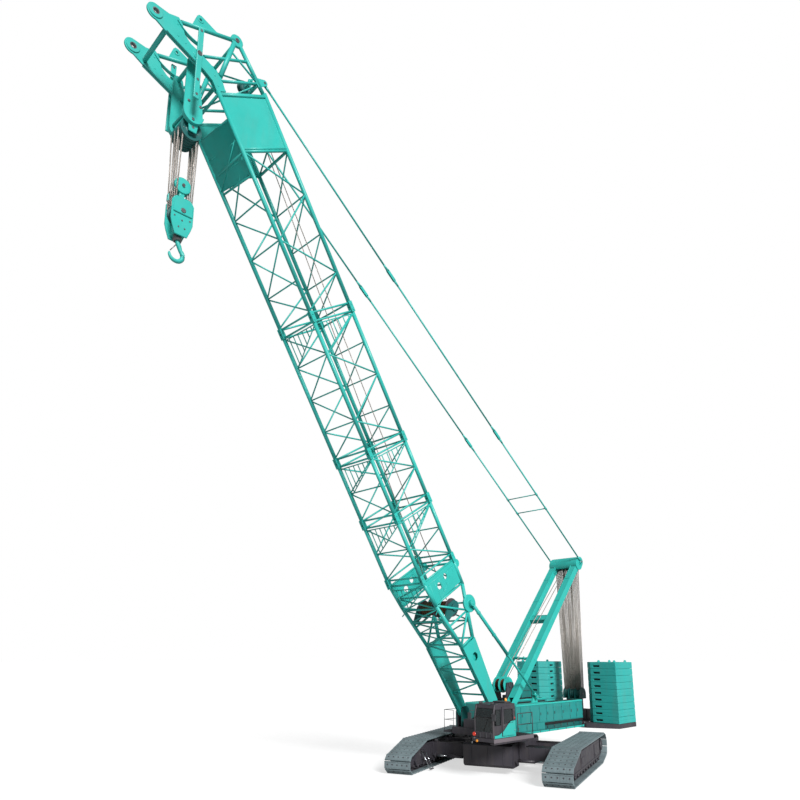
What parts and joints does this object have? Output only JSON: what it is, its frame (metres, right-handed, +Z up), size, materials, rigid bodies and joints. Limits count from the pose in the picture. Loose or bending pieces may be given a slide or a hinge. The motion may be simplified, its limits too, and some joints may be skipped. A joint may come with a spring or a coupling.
{
  "type": "lattice boom crawler crane",
  "caption": "Lattice-boom crawler crane: slewing cab and machinery house on two crawlers, raked mast and pendants, stacked counterweights, hook block hung plumb from the boom head.",
  "frame": {"origin": "middle of the bounding box, at ground level", "axes": "+Z up; +X horizontally towards the boom head; +Y to the operator's left. The slewing axis is at x = -6.632 m."},
  "size_m": [28.8632, 11.2443, 29.9298],
  "materials": {
    "teal_paint": "gloss",
    "dark_paint": "satin",
    "track_shoes": "worn",
    "rope_coil": "greased",
    "glass": "gloss",
    "seat_cover": "matt"
  },
  "bodies": {
    "undercarriage": {"carbody": "dark_paint", "carbody_weight_front": "dark_paint", "carbody_weight_rear": "dark_paint", "slewing_ring": "dark_paint", "track_left": "track_shoes", "track_right": "track_shoes", "track_frame_left": "dark_paint", "track_frame_right": "dark_paint", "drive_sprocket_left": "dark_paint", "drive_sprocket_right": "dark_paint", "idler_left": "dark_paint", "idler_right": "dark_paint"},
    "upper_works": {"revolving_frame": "dark_paint", "machinery_house_left": "teal_paint", "machinery_house_right": "teal_paint", "engine_block": "dark_paint", "cab_platform": "dark_paint", "cab_shell": "dark_paint", "cab_windscreen": "glass", "operator_seat": "seat_cover", "walkway_right": "dark_paint", "counterweight_tray": "dark_paint", "counterweight_left": "teal_paint", "counterweight_right": "teal_paint", "boom_hoist_spreader": "dark_paint", "backstop_bracket_left": "teal_paint", "backstop_bracket_right": "teal_paint"},
    "cab_door": {"cab_door": "dark_paint"},
    "boom_hoist_drum": {"boom_hoist_drum": "rope_coil"},
    "boom": {"boom_base": "teal_paint", "boom_insert_1": "teal_paint", "boom_insert_2": "teal_paint", "boom_insert_3": "teal_paint", "boom_top_section": "teal_paint", "boom_head": "teal_paint"},
    "boom_winch_drum": {"boom_winch_drum": "dark_paint"},
    "mast": {"mast_frame": "teal_paint", "mast_head": "teal_paint"},
    "pendants": {"pendants": "teal_paint"},
    "backstop_tubes": {"backstop_tube_left": "teal_paint", "backstop_tube_right": "teal_paint"},
    "backstop_rods": {"backstop_rod_left": "teal_paint", "backstop_rod_right": "teal_paint"},
    "sheave_frame": {"sheave_frame": "teal_paint", "head_sheaves": "dark_paint"},
    "hook_block": {"hook_block": "teal_paint", "hook_block_sheaves": "dark_paint"},
    "hook": {"hook": "teal_paint"}
  },
  "joints": [
    {"name": "slew", "type": "hinge", "parent": "undercarriage", "child": "upper_works", "pos_m": [-6.632, 0, 1.5], "axis": [0, 0, 1], "continuous": true},
    {"name": "boom_luff", "type": "hinge", "parent": "upper_works", "child": "boom", "pos_m": [-4.882, 0, 2.64], "axis": [0, -1, 0], "range_deg": [-28.2, 17.8]},
    {"name": "mast_swing", "type": "hinge", "parent": "upper_works", "child": "mast", "pos_m": [-6.282, 0, 2.75], "axis": [0, -1, 0], "range_deg": [-30.6, 19.4]},
    {"name": "pendants_swing", "type": "hinge", "parent": "mast", "child": "pendants", "pos_m": [-13.532, 0, 10.75], "axis": [0, -1, 0], "range_deg": [-2.2, 3.4]},
    {"name": "backstop_swing", "type": "hinge", "parent": "boom", "child": "backstop_tubes", "pos_m": [-2.9309, 0, 7.7605], "axis": [0, -1, 0], "range_deg": [-5.3, 8.2]},
    {"name": "backstop_slide", "type": "slide", "parent": "backstop_tubes", "child": "backstop_rods", "axis": [-0.7437, 0, -0.6685], "range_m": [-0.75, 1.18]},
    {"name": "head_swing", "type": "hinge", "parent": "boom", "child": "sheave_frame", "pos_m": [12.3707, 0, 27.771], "axis": [0, -1, 0], "range_deg": [-18.2, 28.6]},
    {"name": "hook_hoist", "type": "slide", "parent": "sheave_frame", "child": "hook_block", "axis": [0, 0, 1], "range_m": [-8, 0.8]},
    {"name": "hook_swivel", "type": "hinge", "parent": "hook_block", "child": "hook", "pos_m": [12.118, 0, 20.7], "axis": [0, 0, 1], "continuous": true},
    {"name": "cab_door_swing", "type": "hinge", "parent": "upper_works", "child": "cab_door", "pos_m": [-4.212, 2.5535, 2.6], "axis": [0, 0, 1], "range_deg": [0, 85]},
    {"name": "boom_hoist_drum_turn", "type": "hinge", "parent": "upper_works", "child": "boom_hoist_drum", "pos_m": [-6.832, 0, 3.9], "axis": [0, 1, 0], "continuous": true},
    {"name": "boom_winch_drum_turn", "type": "hinge", "parent": "boom", "child": "boom_winch_drum", "pos_m": [-1.9633, 0, 7.5371], "axis": [0, 1, 0], "continuous": true}
  ],
  "couplings": [
    {"joint": "mast_swing", "follows": "boom_luff", "ratio": 1.0768},
    {"joint": "pendants_swing", "follows": "boom_luff", "ratio": -0.11223},
    {"joint": "backstop_swing", "follows": "boom_luff", "ratio": -0.28254},
    {"joint": "backstop_slide", "follows": "boom_luff", "m_per_rad": -2.3692},
    {"joint": "head_swing", "follows": "boom_luff", "ratio": -1}
  ]
}
